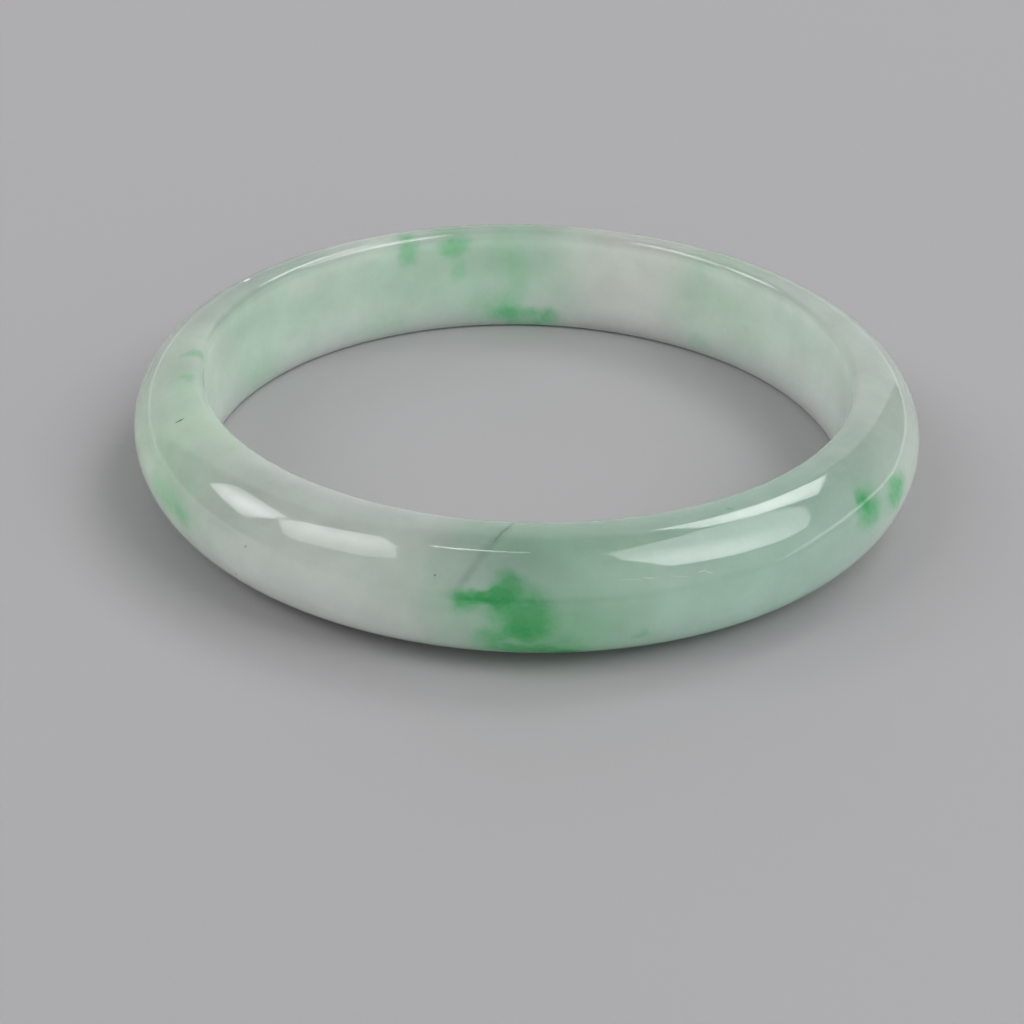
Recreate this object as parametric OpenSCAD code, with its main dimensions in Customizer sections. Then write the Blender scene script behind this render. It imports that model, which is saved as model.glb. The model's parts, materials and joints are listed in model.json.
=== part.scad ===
// A one-piece jade bangle: a closed ring, cut and polished from a single block of stone.
// The inner wall is a straight bore that the hand passes through, and the outside is half round.
// The ring lies flat: its axis is Z, and its lower rim rests on the plane z = 0.

/* [Bangle] */
// Diameter of the bore, which is the bangle's nominal size
bore_d = 57; // [50:0.5:66]
// Height of the ring along the wrist. The outside is a half round of this width
band_h = 10.6; // [8:0.1:14]

/* [Rims] */
// Radius of the eased edge at each end of the bore
bore_edge_r = 0.8; // [0.4:0.1:1.5]
// Width of the narrow flat on each rim, between the eased edge and the half round
rim_flat_w = 0.1; // [0.1:0.1:1]

/* [Hidden] */
$fn = 180;

bore_r = bore_d / 2;
mid_z = band_h / 2;
dome_r = band_h / 2;

// Distances from the axis to the centres of the eased edges and of the half round
edge_x = bore_r + bore_edge_r;
dome_x = edge_x + rim_flat_w;

// Heights of the centres of the lower and the upper eased edge
edge_low_z = bore_edge_r;
edge_high_z = band_h - bore_edge_r;

// Slice of a disc about its own centre, between two angles less than 180 degrees apart
module slice(centre, radius, from, to) {
    reach = 2 * radius;
    middle = (from + to) / 2;
    translate(centre)
        intersection() {
            circle(radius);
            polygon([
                [0, 0],
                [reach * cos(from), reach * sin(from)],
                [2 * reach * cos(middle), 2 * reach * sin(middle)],
                [reach * cos(to), reach * sin(to)]
            ]);
        }
}

// Straight-sided middle of the section, from the bore wall to the foot of the half round
module section_core() {
    polygon([
        [bore_r, edge_low_z],
        [edge_x, edge_low_z],
        [edge_x, 0],
        [dome_x, 0],
        [dome_x, band_h],
        [edge_x, band_h],
        [edge_x, edge_high_z],
        [bore_r, edge_high_z]
    ]);
}

// Half round that makes the outside of the section
module section_dome() {
    translate([dome_x, mid_z])
        intersection() {
            circle(dome_r);
            translate([0, -band_h]) square(2 * band_h);
        }
}

// Section of the ring: flat inside, half round outside, with both edges of the bore eased
module section() {
    section_core();
    section_dome();
    slice([edge_x, edge_low_z], bore_edge_r, 180, 270);
    slice([edge_x, edge_high_z], bore_edge_r, 90, 180);
}

// The whole bangle
module bangle() {
    color("darkseagreen") rotate_extrude() section();
}

bangle();
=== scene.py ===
import json
import math

import bpy
from mathutils import Matrix, Vector


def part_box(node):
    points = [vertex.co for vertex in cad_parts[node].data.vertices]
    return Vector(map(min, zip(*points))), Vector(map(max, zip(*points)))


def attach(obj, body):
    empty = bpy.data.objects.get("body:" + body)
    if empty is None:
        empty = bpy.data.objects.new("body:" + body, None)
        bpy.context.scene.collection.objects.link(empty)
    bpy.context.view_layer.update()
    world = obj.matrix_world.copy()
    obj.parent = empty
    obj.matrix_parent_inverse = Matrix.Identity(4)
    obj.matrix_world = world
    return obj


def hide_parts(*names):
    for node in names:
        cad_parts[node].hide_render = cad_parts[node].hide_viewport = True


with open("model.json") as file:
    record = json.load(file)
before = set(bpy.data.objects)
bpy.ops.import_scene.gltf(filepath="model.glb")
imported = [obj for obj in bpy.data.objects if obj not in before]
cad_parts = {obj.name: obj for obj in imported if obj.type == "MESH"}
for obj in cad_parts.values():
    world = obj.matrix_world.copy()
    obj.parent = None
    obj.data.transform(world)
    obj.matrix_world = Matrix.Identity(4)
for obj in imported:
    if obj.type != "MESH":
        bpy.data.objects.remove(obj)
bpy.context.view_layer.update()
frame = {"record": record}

MM = 0.001
DEGREES = 180 / math.pi


# ------------------------------------------------------------ the ring's measures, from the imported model

low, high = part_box("bangle")
mounts = frame["record"]["mounts"]
opening = next(mount for mount in mounts if mount["name"] == "wrist_opening")
BORE_R = opening["dims"]["r_mm"] * MM
HEIGHT = high.z - low.z
DOME_R = HEIGHT / 2
OUTER_R = (high.x - low.x) / 2
RIM_FLAT = 0.1 * MM
EDGE_R = OUTER_R - DOME_R - RIM_FLAT - BORE_R
MID_Z = (low.z + high.z) / 2
DOME_X = OUTER_R - DOME_R


# ------------------------------------------------------------ node building

class Graph:
    """Short calls for making and linking shader nodes in one tree."""

    def __init__(self, tree):
        self.tree = tree
        tree.nodes.clear()

    def put(self, socket, value):
        """Links a node's output to a socket, or sets the socket to a plain value."""
        if isinstance(value, bpy.types.NodeSocket):
            self.tree.links.new(value, socket)
        elif value is not None:
            socket.default_value = value

    def node(self, kind, inputs=None, **settings):
        """Makes a node, with its settings and the inputs that are given by name or number."""
        made = self.tree.nodes.new(kind)
        for name, value in settings.items():
            setattr(made, name, value)
        for name, value in (inputs or {}).items():
            self.put(made.inputs[name], value)
        return made

    def math(self, operation, a, b=None, c=None, clamp=False):
        made = self.node("ShaderNodeMath", {0: a, 1: b, 2: c}, operation=operation, use_clamp=clamp)
        return made.outputs[0]

    def vector(self, operation, a, b=None):
        made = self.node("ShaderNodeVectorMath", {0: a, 1: b}, operation=operation)
        return made.outputs["Value" if operation in ("DOT_PRODUCT", "LENGTH") else "Vector"]

    def ramp(self, value, start, end, low=0.0, high=1.0, kind="SMOOTHSTEP"):
        """Goes from low to high as value goes from start to end, and stays flat outside."""
        made = self.node(
            "ShaderNodeMapRange",
            {"Value": value, "From Min": start, "From Max": end, "To Min": low, "To Max": high},
            interpolation_type=kind,
        )
        return made.outputs["Result"]

    def noise(self, vector, scale, detail=2.0, roughness=0.5, colour=False):
        """Noise from 0 to 1, about 0.5 on average, or three of them as a colour."""
        made = self.node(
            "ShaderNodeTexNoise",
            {"Vector": vector, "Scale": scale, "Detail": detail, "Roughness": roughness},
            noise_dimensions="3D",
        )
        return made.outputs["Color" if colour else "Fac"]

    def mix(self, factor, a, b, blend="MIX"):
        """The colour a where factor is 0 and b, or a blended with b, where it is 1."""
        made = self.node("ShaderNodeMix", data_type="RGBA", blend_type=blend)
        self.put(made.inputs[0], factor)
        self.put(made.inputs[6], a)
        self.put(made.inputs[7], b)
        return made.outputs[2]


def grey(value):
    return (value, value, value, 1.0)


# ------------------------------------------------------------ camera

CAMERA_AT = Vector((0.0, -155.52, 85.42)) * MM
CAMERA_TARGET = Vector((-1.05, -9.54, 0.0)) * MM
CAMERA_ROLL = math.radians(1.34)
LENS_MM = 68.43
SENSOR_MM = 36.0


def add_camera():
    forward = (CAMERA_TARGET - CAMERA_AT).normalized()
    level_right = forward.cross(Vector((0, 0, 1))).normalized()
    level_up = level_right.cross(forward)
    right = level_right * math.cos(CAMERA_ROLL) + level_up * math.sin(CAMERA_ROLL)
    up = right.cross(forward)
    data = bpy.data.cameras.new("camera")
    data.lens = LENS_MM
    data.sensor_width = SENSOR_MM
    data.clip_start = 0.005
    data.clip_end = 10.0
    camera = bpy.data.objects.new("camera", data)
    turn = Matrix((right, up, -forward)).transposed().to_4x4()
    camera.matrix_world = Matrix.Translation(CAMERA_AT) @ turn
    bpy.context.scene.collection.objects.link(camera)
    bpy.context.scene.camera = camera


# ------------------------------------------------------------ studio light, all in the world

# places in the sky are in degrees: azimuth 0 is to the right, 90 behind and -90 in front of the ring
ROOM_LIGHT = (0.06, 0.105)
BACK_PANEL_AZIMUTHS = (59, 145)
BACK_PANEL_ELEVATIONS = (1, 64)
BACK_PANEL_LIGHT = 0.50
FRONT_WALL_TOWARDS = (0.55, -0.835, 0.0)
FRONT_WALL_FOOT = (-2.0, 15.0)
FRONT_WALL_LIGHT = 0.75
SWEEP_MIDDLE = 4.0
SWEEP_ARCH = (4.0, 34.0)
SWEEP_TOP = 8.5
SWEEP_LIGHT = 0.2
EDGE_LINE = (-2.2, 1.6)
EDGE_LINE_SOFTNESS = 1.8
EDGE_LINE_LIGHT = (1.25, 0.65)
FLOOR_GLOW = 0.40

# each panel of light: name, azimuth, elevation, corners in degrees right of and above its centre,
# width of its soft edge, its hot spot as (right, up, turn), the hot spot's half sizes, and the light
# in the middle of the hot spot and outside it
SOFTBOXES = [
    ("key right", 50, 52,
     [(-15, -9), (3, -12), (5.5, -8), (9, 10), (-5, 11)], 1.0,
     (-2, 0, 60), (14, 20), 6.0, 3.4),
    ("box right", -9, 51,
     [(-26.5, -5), (-16, -18), (-2, -26), (8, -26), (22, -3), (26, 12), (19, 19), (-7, 24.5), (-18, 16)], 1.0,
     (-13, -4, -60), (37, 24), 4.5, 2.0),
    ("key left", 172, 35,
     [(-7, -9), (4, -12), (13, -13), (11, 2), (6, 13), (-6, 11), (-12, 8)], 0.8,
     (3, 0, 0), (16, 16), 5.4, 1.95),
    ("box left", -159, 47,
     [(-13, -5), (-4, -19), (1, -21), (16, -5), (18, 4), (3, 18), (-8, 23), (-13, 5)], 1.0,
     (-4, 4, 80), (26, 18), 4.0, 1.75),
    ("strip overhead", 180, 83.1,
     [(4.2, -7.5), (6.0, -7.5), (6.0, 8.5), (4.2, 8.5)], 0.3,
     (5, -5, 90), (14, 14), 9.0, 2.5),
]


def direction(azimuth, elevation):
    a = math.radians(azimuth)
    e = math.radians(elevation)
    return Vector((math.cos(e) * math.cos(a), math.cos(e) * math.sin(a), math.sin(e)))


def window_axes(azimuth, elevation):
    """The directions of a light's centre, of its right-hand side (rising azimuth) and of its top."""
    centre = direction(azimuth, elevation)
    side = Vector((0, 0, 1)).cross(centre).normalized()
    return centre, side, centre.cross(side)


def softbox(graph, ray, name, azimuth, elevation, corners, edge, hot, hot_size, hot_light, rim_light):
    """A convex panel of light, as a row of SOFTBOXES says."""
    centre, side, top = window_axes(azimuth, elevation)

    def towards(u, v):
        aim = centre + side * math.tan(math.radians(u)) + top * math.tan(math.radians(v))
        return aim.normalized()

    rays = [towards(u, v) for u, v in corners]
    inside = None
    for first, second in zip(rays, rays[1:] + rays[:1]):
        plane = first.cross(second).normalized()
        distance = graph.vector("DOT_PRODUCT", ray, tuple(plane))
        inside = distance if inside is None else graph.math("MINIMUM", inside, distance)
    mask = graph.ramp(inside, 0.0, math.radians(edge))
    hot_u, hot_v, hot_turn = hot
    spot = towards(hot_u, hot_v)
    across = (side - spot * side.dot(spot)).normalized()
    along = spot.cross(across)
    turn = math.radians(hot_turn)
    long_axis = across * math.cos(turn) + along * math.sin(turn)
    short_axis = spot.cross(long_axis)
    total = None
    for axis, size in zip((long_axis, short_axis), hot_size):
        part = graph.vector("DOT_PRODUCT", ray, tuple(axis / math.sin(math.radians(size))))
        square = graph.math("MULTIPLY", part, part)
        total = square if total is None else graph.math("ADD", total, square)
    light = graph.ramp(graph.math("SQRT", total), 0.0, 1.0, hot_light, rim_light)
    panel = graph.math("MULTIPLY", mask, light)
    panel.node.label = "light " + name
    return panel


def band(graph, value, low, high, edge):
    """1 between low and high, fading to 0 over the width edge on both sides."""
    rise = graph.ramp(value, low - edge / 2, low + edge / 2)
    fall = graph.ramp(value, high - edge / 2, high + edge / 2, 1.0, 0.0)
    return graph.math("MULTIPLY", rise, fall)


def ray_angles(graph, ray):
    """The azimuth and the elevation of a ray, in degrees."""
    parts = graph.node("ShaderNodeSeparateXYZ", {0: ray}).outputs
    turn = graph.math("ARCTAN2", parts["Y"], parts["X"])
    rise = graph.math("ARCSINE", parts["Z"])
    return graph.math("MULTIPLY", turn, DEGREES), graph.math("MULTIPLY", rise, DEGREES)


def back_panel(graph, azimuth, elevation):
    """A pale panel behind the ring."""
    across = band(graph, azimuth, *BACK_PANEL_AZIMUTHS, 1)
    upwards = band(graph, elevation, *BACK_PANEL_ELEVATIONS, 3)
    return graph.math("MULTIPLY", graph.math("MULTIPLY", across, upwards), BACK_PANEL_LIGHT)


def front_wall(graph, ray, elevation):
    """A soft bright wall in front, brightest right of the middle."""
    facing = graph.math("MAXIMUM", graph.vector("DOT_PRODUCT", ray, FRONT_WALL_TOWARDS), 0.0)
    wall = graph.math("MULTIPLY", facing, graph.ramp(elevation, *FRONT_WALL_FOOT))
    return graph.math("MULTIPLY", wall, FRONT_WALL_LIGHT)


def sweep_and_its_edge(graph, ray, azimuth, elevation):
    """A pale sweep on the right, and the fine bright line along its far edge, which is an arch."""
    aside = graph.math("ABSOLUTE", graph.math("SUBTRACT", azimuth, SWEEP_MIDDLE))
    over_edge = graph.math("SUBTRACT", elevation, graph.ramp(aside, *SWEEP_ARCH, SWEEP_TOP, 0.0))
    in_front = graph.vector("DOT_PRODUCT", ray, (0.0, -1.0, 0.0))
    seen = graph.ramp(in_front, 0.2, 0.45, 1.0, 0.0)
    bright = graph.math("MULTIPLY", seen, graph.ramp(aside, 8.0, 42.0, *EDGE_LINE_LIGHT))
    line = graph.math("MULTIPLY", band(graph, over_edge, *EDGE_LINE, EDGE_LINE_SOFTNESS), bright)
    below = graph.math("MULTIPLY", graph.ramp(over_edge, -1.0, 0.0, 1.0, 0.0), seen)
    return [line, graph.math("MULTIPLY", below, SWEEP_LIGHT)]


def add_world():
    world = bpy.data.worlds.new("studio")
    bpy.context.scene.world = world
    world.use_nodes = True
    graph = Graph(world.node_tree)
    ray = graph.node("ShaderNodeTexCoord").outputs["Generated"]
    azimuth, elevation = ray_angles(graph, ray)

    # a dim room, darkest near the floor, and everything that lights it
    total = graph.ramp(elevation, 14.0, 22.0, *ROOM_LIGHT)
    lights = [back_panel(graph, azimuth, elevation), front_wall(graph, ray, elevation)]
    lights += sweep_and_its_edge(graph, ray, azimuth, elevation)
    lights += [softbox(graph, ray, *box) for box in SOFTBOXES]
    for light in lights:
        total = graph.math("ADD", total, light)
    above = graph.ramp(elevation, -2.5, -1.5)
    strength = graph.mix(above, grey(FLOOR_GLOW), total)
    background = graph.node("ShaderNodeBackground", {"Color": strength, "Strength": 1.0})
    output = graph.node("ShaderNodeOutputWorld")
    graph.put(output.inputs["Surface"], background.outputs[0])


# ------------------------------------------------------------ floor

FLOOR_R = 0.6
FLOOR_SIDES = 128
FLOOR_DARKEST = (0.372, 0.365, 0.377, 1.0)
FLOOR_PALEST = (0.385, 0.378, 0.390, 1.0)
FLOOR_ROUGHNESS = (0.42, 0.5)
FLOOR_SPECULAR = 0.35
FLOOR_GRAIN_DEPTH = 0.02 * MM


def floor_material():
    material = bpy.data.materials.new("floor")
    material.use_nodes = True
    graph = Graph(material.node_tree)
    place = graph.node("ShaderNodeTexCoord").outputs["Object"]
    cloud = graph.noise(place, 9.0, 3.0)
    grain = graph.noise(place, 900.0, 2.0)
    tone = graph.mix(cloud, FLOOR_DARKEST, FLOOR_PALEST)
    bump = graph.node("ShaderNodeBump", {"Strength": 1.0, "Distance": FLOOR_GRAIN_DEPTH, "Height": grain})
    shader = graph.node("ShaderNodeBsdfPrincipled", {
        "Base Color": tone,
        "Roughness": graph.ramp(cloud, 0.3, 0.7, *FLOOR_ROUGHNESS),
        "Specular IOR Level": FLOOR_SPECULAR,
        "Normal": bump.outputs[0],
    })
    output = graph.node("ShaderNodeOutputMaterial")
    graph.put(output.inputs["Surface"], shader.outputs[0])
    return material


def add_floor():
    centre = Vector(((low.x + high.x) / 2, (low.y + high.y) / 2, low.z))
    rim = [centre + direction(360 * i / FLOOR_SIDES, 0) * FLOOR_R for i in range(FLOOR_SIDES)]
    faces = [(0, 1 + i, 1 + (i + 1) % FLOOR_SIDES) for i in range(FLOOR_SIDES)]
    mesh = bpy.data.meshes.new("floor")
    mesh.from_pydata([tuple(point) for point in [centre] + rim], [], faces)
    mesh.materials.append(floor_material())
    floor = bpy.data.objects.new("floor", mesh)
    bpy.context.scene.collection.objects.link(floor)


# ------------------------------------------------------------ jade

def ring_frame(azimuth, radius, height, lean):
    """A place in the stone, in millimetres, and its axes: along the ring, along the section, outwards.
    lean is where the surface faces: 0 on the outermost line, 90 on top, 180 on the bore wall."""
    a = math.radians(azimuth)
    t = math.radians(lean)
    outwards = Vector((math.cos(t) * math.cos(a), math.cos(t) * math.sin(a), math.sin(t)))
    along = Vector((-math.sin(a), math.cos(a), 0))
    point = Vector((radius * math.cos(a), radius * math.sin(a), height))
    return point, along, outwards.cross(along), outwards


def on_dome(azimuth, lean):
    """A place on the half-round outside."""
    t = math.radians(lean)
    radius = (DOME_X + DOME_R * math.cos(t)) / MM
    height = (MID_Z + DOME_R * math.sin(t)) / MM
    return ring_frame(azimuth, radius, height, lean)


def on_bore(azimuth, height):
    """A place on the bore wall, at a height in millimetres."""
    return ring_frame(azimuth, BORE_R / MM, height, 180)


def blob(graph, place, frame_there, half_sizes, turn=0.0, soft=0.5):
    """1 inside an ellipsoid that lies in the surface, 0 outside. turn turns it in the surface."""
    point, along, across, outwards = frame_there
    angle = math.radians(turn)
    first = along * math.cos(angle) + across * math.sin(angle)
    second = across * math.cos(angle) - along * math.sin(angle)
    axes = Matrix((first, second, outwards)).transposed()
    mapped = graph.node("ShaderNodeMapping", {
        "Vector": place,
        "Location": tuple(point),
        "Rotation": axes.to_euler(),
        "Scale": half_sizes,
    }, vector_type="TEXTURE")
    distance = graph.vector("LENGTH", mapped.outputs[0])
    return graph.ramp(distance, 1.0 - soft, 1.0 + soft, 1.0, 0.0)


def gather(graph, place, blobs):
    """The sum of blobs, each with its own strength, kept under 1."""
    total = None
    for frame_there, half_sizes, turn, soft, strength in blobs:
        part = graph.math("MULTIPLY", blob(graph, place, frame_there, half_sizes, turn, soft), strength)
        total = part if total is None else graph.math("ADD", total, part)
    return graph.math("MINIMUM", total, 1.0)


def in_band(azimuth):
    """The middle of the ring's section, inside the stone."""
    return ring_frame(azimuth, DOME_X / MM, MID_Z / MM, 0)


# the stone between the patches, and where it has other tones: azimuth, reach along the ring in mm, tone
STONE = (0.53, 0.63, 0.55)
ZONE_WANDER = [(0.12, 9.0), (0.45, 2.0)]
ZONE_THICKNESS = 15.0
TONE_ZONES = [
    (8, 17.0, (0.61, 0.71, 0.63)),
    (68, 6.2, (0.635, 0.68, 0.62)),
    (48, 4.5, (0.54, 0.66, 0.56)),
    (104, 9.5, (0.47, 0.62, 0.51)),
    (150, 9.0, (0.46, 0.585, 0.495)),
    (-175, 6.0, (0.59, 0.715, 0.605)),
    (-154, 7.5, (0.61, 0.79, 0.625)),
    (-122, 9.5, (0.635, 0.70, 0.64)),
    (-59, 14.0, (0.41, 0.585, 0.485)),
    (-86, 7.0, (0.37, 0.56, 0.43)),
]

# painted light and shade: how much paler than its tone the stone is painted, at the foot and at the top, on
# the dome and on the bore wall; paler low down and darker at the top, standing in for how the light falls
DOME_PAINTED_SHADING = (1.45, 0.57)
WALL_PAINTED_SHADING = (1.42, 0.84)
FOOT_PAINTED_LIGHT = 1.18

# marks in the stone: place, half sizes in mm, turn in degrees, softness of the edge, strength
GREEN_PATCHES = [
    # front: an arm, its dark end, its droop and its bulge
    (on_dome(-95.4, 20), (2.1, 0.6, 1.2), 0, 0.6, 0.58),
    (on_dome(-93.3, 21), (1.0, 0.45, 1.0), 0, 0.7, 0.54),
    (on_dome(-97.2, 12), (0.9, 0.7, 1.0), 0, 0.8, 0.56),
    (on_dome(-91.8, 32), (1.1, 1.0, 1.0), 0, 0.7, 0.48),
    # front: the body, its core, its pale edges and the band along the bottom
    (on_dome(-90.3, 5), (2.5, 2.0, 1.5), -30, 0.6, 0.60),
    (on_dome(-89.6, -10), (1.6, 1.0, 1.0), 20, 0.8, 0.14),
    (on_dome(-90.4, -24), (2.7, 1.4, 1.2), 0, 0.7, 0.26),
    (on_dome(-94.2, -23), (1.1, 1.0, 1.0), 0, 0.7, 0.28),
    (on_dome(-88.2, -40), (3.5, 0.9, 1.3), 0, 0.6, 0.52),
    (on_dome(-83.8, -47), (1.1, 0.5, 0.8), 0, 0.6, 0.55),
    (on_dome(-84.0, -12), (3.8, 2.8, 2.0), 0, 0.8, 0.20),
    (on_dome(-83.5, -22), (1.0, 0.7, 1.0), 0, 0.7, 0.15),
    (on_dome(-74.5, -24), (0.40, 0.65, 0.6), 0, 0.7, 0.26),
    # far wall, left of the middle
    (on_dome(115.2, 88), (1.0, 0.9, 1.0), 0, 0.6, 0.36),
    (on_bore(115.6, 9.2), (0.95, 1.4, 1.0), 0, 0.6, 0.34),
    (on_bore(105.6, 9.3), (1.6, 1.1, 1.2), 0, 0.6, 0.36),
    (on_bore(104.6, 6.7), (0.8, 1.0, 1.0), 0, 0.7, 0.22),
    (on_dome(106.0, 75), (2.4, 1.6, 1.5), 0, 0.7, 0.25),
    (on_dome(92.0, 80), (5.0, 1.6, 1.5), 0, 0.7, 0.16),
    # far wall, middle
    (on_bore(92.6, 5.8), (1.0, 2.4, 1.0), 0, 0.8, 0.14),
    (on_bore(95.0, 8.6), (1.6, 2.2, 1.5), 0, 0.8, 0.10),
    (on_bore(94.8, 2.0), (1.6, 1.6, 1.2), 0, 0.7, 0.28),
    (on_bore(90.4, 1.1), (3.3, 1.1, 1.2), 0, 0.6, 0.42),
    (on_bore(86.4, 1.0), (1.0, 1.1, 1.0), 0, 0.7, 0.18),
    (on_bore(100.5, 2.2), (1.6, 1.8, 1.5), 0, 0.7, 0.14),
    # far wall, the rest
    (on_bore(52.8, 1.2), (1.3, 0.9, 1.0), 0, 0.7, 0.18),
    (on_bore(123.2, 1.4), (3.4, 1.3, 1.0), 0, 0.8, 0.12),
    (on_bore(155.0, 1.8), (2.8, 1.8, 1.0), 0, 0.8, 0.14),
    (on_bore(160.5, 8.6), (2.0, 1.6, 1.0), 0, 0.8, 0.08),
    (on_bore(50.0, 9.4), (3.4, 2.0, 1.5), 0, 0.8, 0.06),
    (on_dome(46.0, 70), (5.0, 2.0, 1.5), 0, 0.8, 0.10),
    # the same patches where they come out at the back, and on the bore wall in front
    (on_dome(112.0, 38), (2.6, 1.8, 2.0), 20, 0.7, 0.30),
    (on_dome(94.0, -18), (3.4, 2.0, 2.0), -15, 0.7, 0.38),
    (on_dome(99.0, 8), (1.8, 1.2, 1.5), 40, 0.7, 0.22),
    (on_dome(52.0, -12), (2.8, 1.6, 1.5), 10, 0.8, 0.20),
    (on_bore(-91.5, 3.2), (2.6, 1.8, 1.6), 15, 0.7, 0.34),
    (on_bore(-33.0, 5.5), (1.4, 1.2, 1.2), 0, 0.8, 0.18),
    # left, on top and outside
    (on_dome(-177.0, 91), (0.6, 1.0, 0.8), 0, 0.6, 0.30),
    (on_dome(-167.6, 85), (0.7, 0.6, 0.8), 0, 0.7, 0.22),
    (on_dome(-168.0, 85), (5.0, 1.4, 1.0), 0, 0.8, 0.10),
    (on_dome(-146.5, 8), (3.6, 1.1, 1.2), 0, 0.7, 0.25),
    (on_dome(-142.3, 1), (1.0, 0.9, 1.0), 0, 0.6, 0.16),
    # right
    (on_dome(-36.8, 34), (0.85, 0.80, 0.9), 0, 0.7, 0.38),
    (on_dome(-35.6, 31), (1.7, 1.5, 1.2), 30, 0.8, 0.24),
    (on_dome(-36.0, 19), (1.7, 1.2, 1.0), 0, 0.7, 0.34),
    (on_dome(-27.6, 16), (2.0, 1.2, 1.0), 0, 0.7, 0.58),
    (on_dome(-58.1, 79), (0.35, 0.22, 0.5), 0, 0.5, 0.30),
]

WHITE_CLOUDS = [
    (on_bore(66.0, 6.2), (4.0, 1.5, 1.5), 15, 0.8, 0.25),
    (on_bore(79.0, 6.0), (2.6, 2.6, 1.5), 0, 0.8, 0.28),
    (on_bore(8.0, 6.0), (3.5, 2.5, 1.5), 0, 0.8, 0.20),
    (on_bore(48.0, 8.6), (2.4, 1.2, 1.5), 0, 0.8, 0.25),
    (on_bore(38.5, 7.5), (1.8, 1.0, 1.2), 0, 0.8, 0.25),
    (on_bore(24.6, 4.0), (2.0, 1.4, 1.2), 0, 0.8, 0.25),
    (on_bore(141.0, 8.3), (2.2, 1.2, 1.2), 0, 0.8, 0.20),
    (on_dome(122.0, 75), (5.0, 2.0, 2.0), 0, 0.8, 0.20),
    (on_dome(-117.0, 5), (4.5, 2.2, 1.8), 10, 0.8, 0.18),
    (on_dome(-104.5, -12), (2.0, 1.3, 1.5), -20, 0.8, 0.15),
]

GREY_VEILS = [
    (on_dome(-93.0, 47), (3.6, 2.3, 1.8), 0, 0.9, 0.55),
    (on_dome(-86.0, 30), (3.2, 2.4, 1.8), 0, 0.9, 0.30),
    (on_dome(-114.0, 86), (9.0, 1.8, 1.5), 0, 0.9, 0.38),
    (on_dome(-43.0, 8), (7.0, 3.0, 2.2), 0, 0.9, 0.34),
]

DARK_MARKS = [
    # a healed fissure over the front, from the bore's edge, and the fine open crack at its upper end
    (on_dome(-94.5, 62), (3.3, 0.30, 1.7), 57, 0.9, 0.16),
    (on_dome(-92.7, 80), (1.3, 0.10, 0.8), 59, 0.7, 0.40),
    (on_dome(-97.0, 34), (0.9, 0.30, 0.6), 50, 0.9, 0.12),
    # a hair inclusion on the left and small specks
    (on_dome(-155.1, 65), (0.38, 0.08, 0.4), 80, 0.5, 1.0),
    (on_dome(-101.1, 33), (0.11, 0.08, 0.2), 0, 0.6, 0.60),
    (on_dome(-128.4, 13), (0.11, 0.08, 0.2), 30, 0.6, 0.55),
    (on_dome(-131.4, -25), (0.11, 0.10, 0.2), 0, 0.6, 0.60),
    (on_bore(180.0, 7.8), (0.08, 0.10, 0.2), 0, 0.6, 0.50),
]

# pale specks and fine scratches, and one painted glint
PALE_MARKS_AND_PAINTED_GLINT = [
    # a painted glint: a white spot painted on the far top, standing in for a highlight
    (on_dome(150.8, 73.5), (0.45, 0.28, 0.3), 0, 0.5, 1.0),
    (on_bore(47.0, 3.8), (0.22, 0.18, 0.3), 0, 0.7, 0.30),
    (on_dome(-76.2, 31.8), (0.85, 0.022, 0.3), -5, 0.6, 0.22),
    (on_dome(-73.9, 31.9), (0.50, 0.030, 0.3), -10, 0.6, 0.36),
    (on_dome(-69.3, 28.6), (0.75, 0.022, 0.3), -12, 0.6, 0.22),
    (on_dome(-66.6, 30.2), (0.30, 0.025, 0.3), 15, 0.6, 0.35),
    (on_dome(-65.6, 28.6), (0.40, 0.025, 0.3), -20, 0.6, 0.35),
]


def scaled(graph, vector, factor):
    """The vector or colour times a plain number or a node's value."""
    made = graph.node("ShaderNodeVectorMath", {0: vector, "Scale": factor}, operation="SCALE")
    return made.outputs["Vector"]


def wandering(graph, place, sizes):
    """The place, pushed about by noise: sizes holds each noise's scale and its reach in millimetres."""
    for scale, reach in sizes:
        push = graph.vector("SUBTRACT", graph.noise(place, scale, 2.0, colour=True), (0.5, 0.5, 0.5))
        place = graph.vector("ADD", place, scaled(graph, push, reach))
    return place


def tint(graph, tone, amount, full):
    """The tone, multiplied by the colour full where amount is 1."""
    return graph.mix(amount, tone, graph.mix(1.0, tone, (*full, 1.0), blend="MULTIPLY"))


def painted_height_shading(graph, place):
    """Painted light and shade for the stone's height: paler low down and darker at the top, on the dome or on
    the bore wall.
    """
    parts = graph.node("ShaderNodeSeparateXYZ", {0: place}).outputs
    flat = graph.node("ShaderNodeCombineXYZ", {"X": parts["X"], "Y": parts["Y"]})
    radius = graph.vector("LENGTH", flat.outputs[0])
    near_bore = graph.ramp(radius, BORE_R / MM + 0.1, BORE_R / MM + 1.0, 1.0, 0.0)
    below_rim = graph.ramp(parts["Z"], 9.2, 10.4, 1.0, 0.0)
    on_wall = graph.math("MULTIPLY", near_bore, below_rim)
    # painted shade: the tone falls off towards the top of the dome and of the bore wall
    dome = graph.ramp(parts["Z"], 0.0, HEIGHT / MM, *DOME_PAINTED_SHADING, "LINEAR")
    wall = graph.ramp(parts["Z"], 0.0, HEIGHT / MM, *WALL_PAINTED_SHADING, "LINEAR")
    rise = graph.math("MULTIPLY", on_wall, graph.math("SUBTRACT", wall, dome))
    # painted light: the foot of the stone is painted paler
    foot = graph.ramp(parts["Z"], 0.0, 1.8, FOOT_PAINTED_LIGHT, 1.0)
    return graph.math("MULTIPLY", foot, graph.math("ADD", dome, rise))


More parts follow.
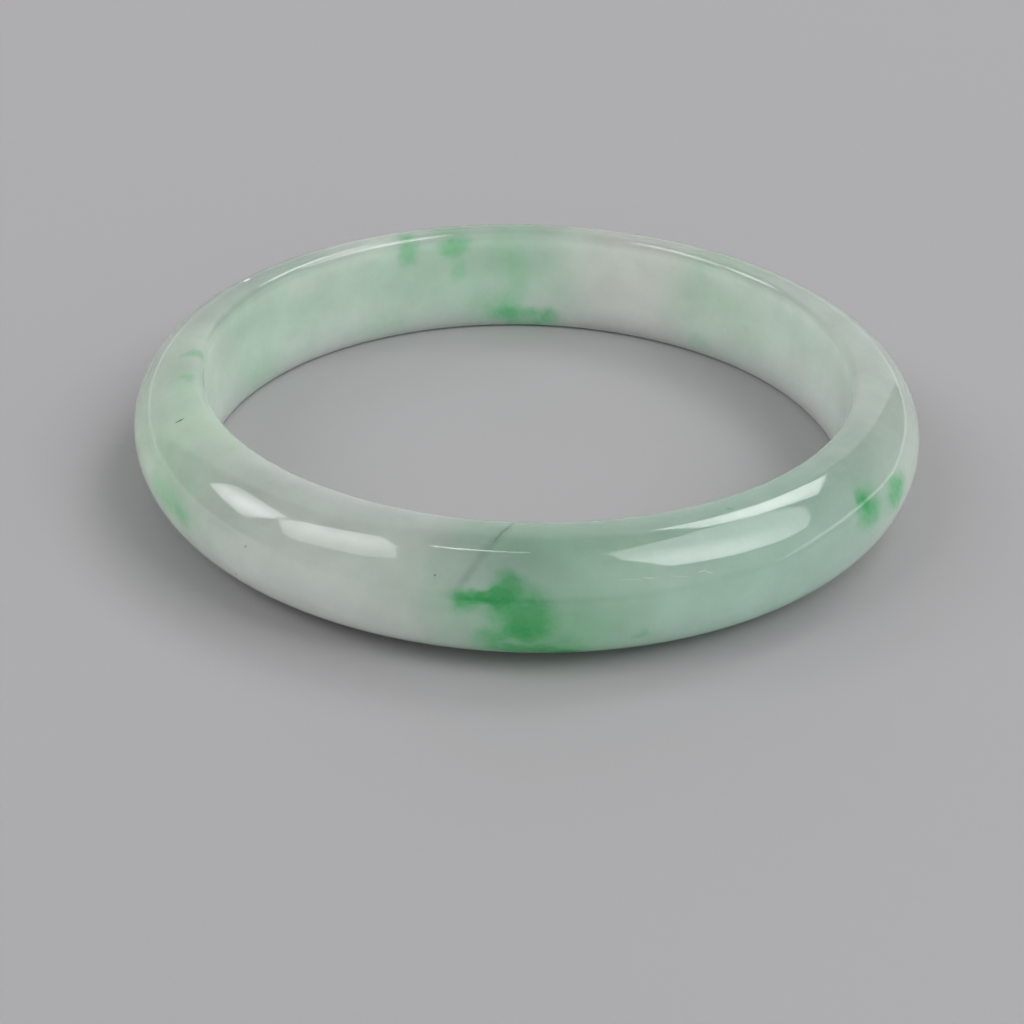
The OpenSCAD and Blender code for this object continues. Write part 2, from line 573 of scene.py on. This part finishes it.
def stone_tone(graph, place):
    """Tone of the stone between the patches: zones along the ring, painted light and shade (paler low down,
    darker at the top), with fine clouds.
    """
    wide = wandering(graph, place, ZONE_WANDER)
    tone = (*STONE, 1.0)
    for azimuth, reach, zone_tone in TONE_ZONES:
        inside = blob(graph, wide, in_band(azimuth), (reach, ZONE_THICKNESS, ZONE_THICKNESS), 0, 0.6)
        tone = graph.mix(inside, tone, (*zone_tone, 1.0))
    clouds = graph.ramp(graph.noise(place, 0.22, 5.0, 0.6), 0.3, 0.7, 0.93, 1.07, "LINEAR")
    # painted light and shade: the tone is scaled paler low down and darker at the top
    return scaled(graph, tone, graph.math("MULTIPLY", clouds, painted_height_shading(graph, place)))


# how noise pushes each kind of mark about: the noise's scale per mm, and its reach in mm
GREEN_WANDER = [(0.45, 1.6), (1.3, 0.6), (3.5, 0.25)]
CLOUD_WANDER = [(0.5, 1.5), (1.6, 0.7)]
FINE_WANDER = [(1.0, 0.35), (4.0, 0.08)]

APPLE_TINT = (0.36, 0.83, 0.49)
DEEP_TINT = (0.25, 0.84, 0.50)
VEIL_TINT = (0.74, 0.74, 0.78)
DARK_TINT = (0.14, 0.20, 0.16)
CLOUD_TONE = (0.74, 0.75, 0.72, 1.0)
PALE_MARK_AND_GLINT_TONE = (0.95, 0.97, 0.94, 1.0)


def add_green(graph, place, tone):
    """Apple green patches, deeper where they are strongest. They wander with three sizes of noise."""
    ragged = wandering(graph, place, GREEN_WANDER)
    broken = graph.ramp(graph.noise(place, 0.9, 4.0, 0.6), 0.3, 0.7, 0.75, 1.15, "LINEAR")
    green = graph.math("MULTIPLY", gather(graph, ragged, GREEN_PATCHES), broken, clamp=True)
    tone = tint(graph, tone, graph.ramp(green, 0.0, 0.55, kind="LINEAR"), APPLE_TINT)
    return tint(graph, tone, graph.ramp(green, 0.5, 1.0, kind="LINEAR"), DEEP_TINT)


def add_marks(graph, place, tone):
    """Pale clouds, grey veils, the fissure, the small dark marks, and the pale marks and scratches with one
    painted glint.
    """
    wavy = wandering(graph, place, CLOUD_WANDER)
    fine = wandering(graph, place, FINE_WANDER)
    tone = graph.mix(gather(graph, wavy, WHITE_CLOUDS), tone, CLOUD_TONE)
    tone = tint(graph, tone, gather(graph, place, GREY_VEILS), VEIL_TINT)
    tone = tint(graph, tone, gather(graph, fine, DARK_MARKS), DARK_TINT)
    # pale specks and scratches, and the painted glint on the far top
    return graph.mix(gather(graph, fine, PALE_MARKS_AND_PAINTED_GLINT), tone, PALE_MARK_AND_GLINT_TONE)


JADE_ROUGHNESS = (0.03, 0.07)
PEEL_DEPTH = 0.0006 * MM
WAVES_SHARE = 6.0
JADE_IOR = 1.66
LIGHT_REACH = 12.0 * MM


def polish(graph, place):
    """Roughness and normal: nearly a mirror, a little duller in places, with a faint orange peel."""
    smear = graph.noise(place, 0.35, 4.0, 0.6)
    roughness = graph.ramp(smear, 0.35, 0.75, *JADE_ROUGHNESS)
    peel = graph.noise(place, 0.9, 2.0)
    waves = graph.noise(place, 0.18, 1.0)
    relief = graph.math("ADD", peel, graph.math("MULTIPLY", waves, WAVES_SHARE))
    bump = graph.node("ShaderNodeBump", {"Strength": 1.0, "Distance": PEEL_DEPTH, "Height": relief})
    return roughness, bump.outputs[0]


def jade_material():
    material = bpy.data.materials.new("jade_stone")
    material.use_nodes = True
    graph = Graph(material.node_tree)
    place = graph.node("ShaderNodeTexCoord").outputs["Object"]
    place = scaled(graph, place, 1 / MM)
    tone = stone_tone(graph, place)
    tone = add_green(graph, place, tone)
    tone = add_marks(graph, place, tone)
    roughness, normal = polish(graph, place)
    shader = graph.node("ShaderNodeBsdfPrincipled", {
        "Base Color": tone,
        "Roughness": roughness,
        "IOR": JADE_IOR,
        "Normal": normal,
        "Subsurface Weight": 1.0,
        "Subsurface Radius": (1.0, 1.0, 1.0),
        "Subsurface Scale": LIGHT_REACH,
    })
    output = graph.node("ShaderNodeOutputMaterial")
    graph.put(output.inputs["Surface"], shader.outputs[0])
    return material


# how many steps the ring's mesh has, around the ring and along its section
AROUND = 540
DOME_STEPS = 72
EDGE_STEPS = 8
BORE_STEPS = 16


def section_points():
    """The ring's closed section as (radius, height): up the bore wall, over the top, down the dome."""
    edge_x = BORE_R + EDGE_R
    top = MID_Z + DOME_R
    bottom = MID_Z - DOME_R
    points = []
    for i in range(BORE_STEPS):
        share = i / BORE_STEPS
        points.append((BORE_R, bottom + EDGE_R + share * (HEIGHT - 2 * EDGE_R)))
    for i in range(EDGE_STEPS):
        angle = math.pi - i / EDGE_STEPS * math.pi / 2
        points.append((edge_x + EDGE_R * math.cos(angle), top - EDGE_R + EDGE_R * math.sin(angle)))
    points.append((edge_x, top))
    for i in range(DOME_STEPS + 1):
        angle = math.pi / 2 - i / DOME_STEPS * math.pi
        points.append((DOME_X + DOME_R * math.cos(angle), MID_Z + DOME_R * math.sin(angle)))
    points.append((edge_x, bottom))
    for i in range(1, EDGE_STEPS):
        angle = -math.pi / 2 - i / EDGE_STEPS * math.pi / 2
        points.append((edge_x + EDGE_R * math.cos(angle), bottom + EDGE_R + EDGE_R * math.sin(angle)))
    return points


def add_ring():
    section = section_points()
    count = len(section)
    points = []
    for i in range(AROUND):
        angle = 2 * math.pi * i / AROUND
        for radius, height in section:
            points.append((radius * math.cos(angle), radius * math.sin(angle), height))
    faces = []
    for i in range(AROUND):
        here = i * count
        there = (i + 1) % AROUND * count
        for j in range(count):
            k = (j + 1) % count
            faces.append((here + j, here + k, there + k, there + j))
    mesh = bpy.data.meshes.new("jade_ring")
    mesh.from_pydata(points, [], faces)
    mesh.validate()
    mesh.shade_smooth()
    mesh.materials.append(jade_material())
    ring = bpy.data.objects.new("jade_ring", mesh)
    bpy.context.scene.collection.objects.link(ring)
    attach(ring, "root")
    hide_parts("bangle")


# ------------------------------------------------------------ the scene

bpy.context.scene.view_settings.view_transform = "Standard"
add_camera()
add_world()
add_floor()
add_ring()
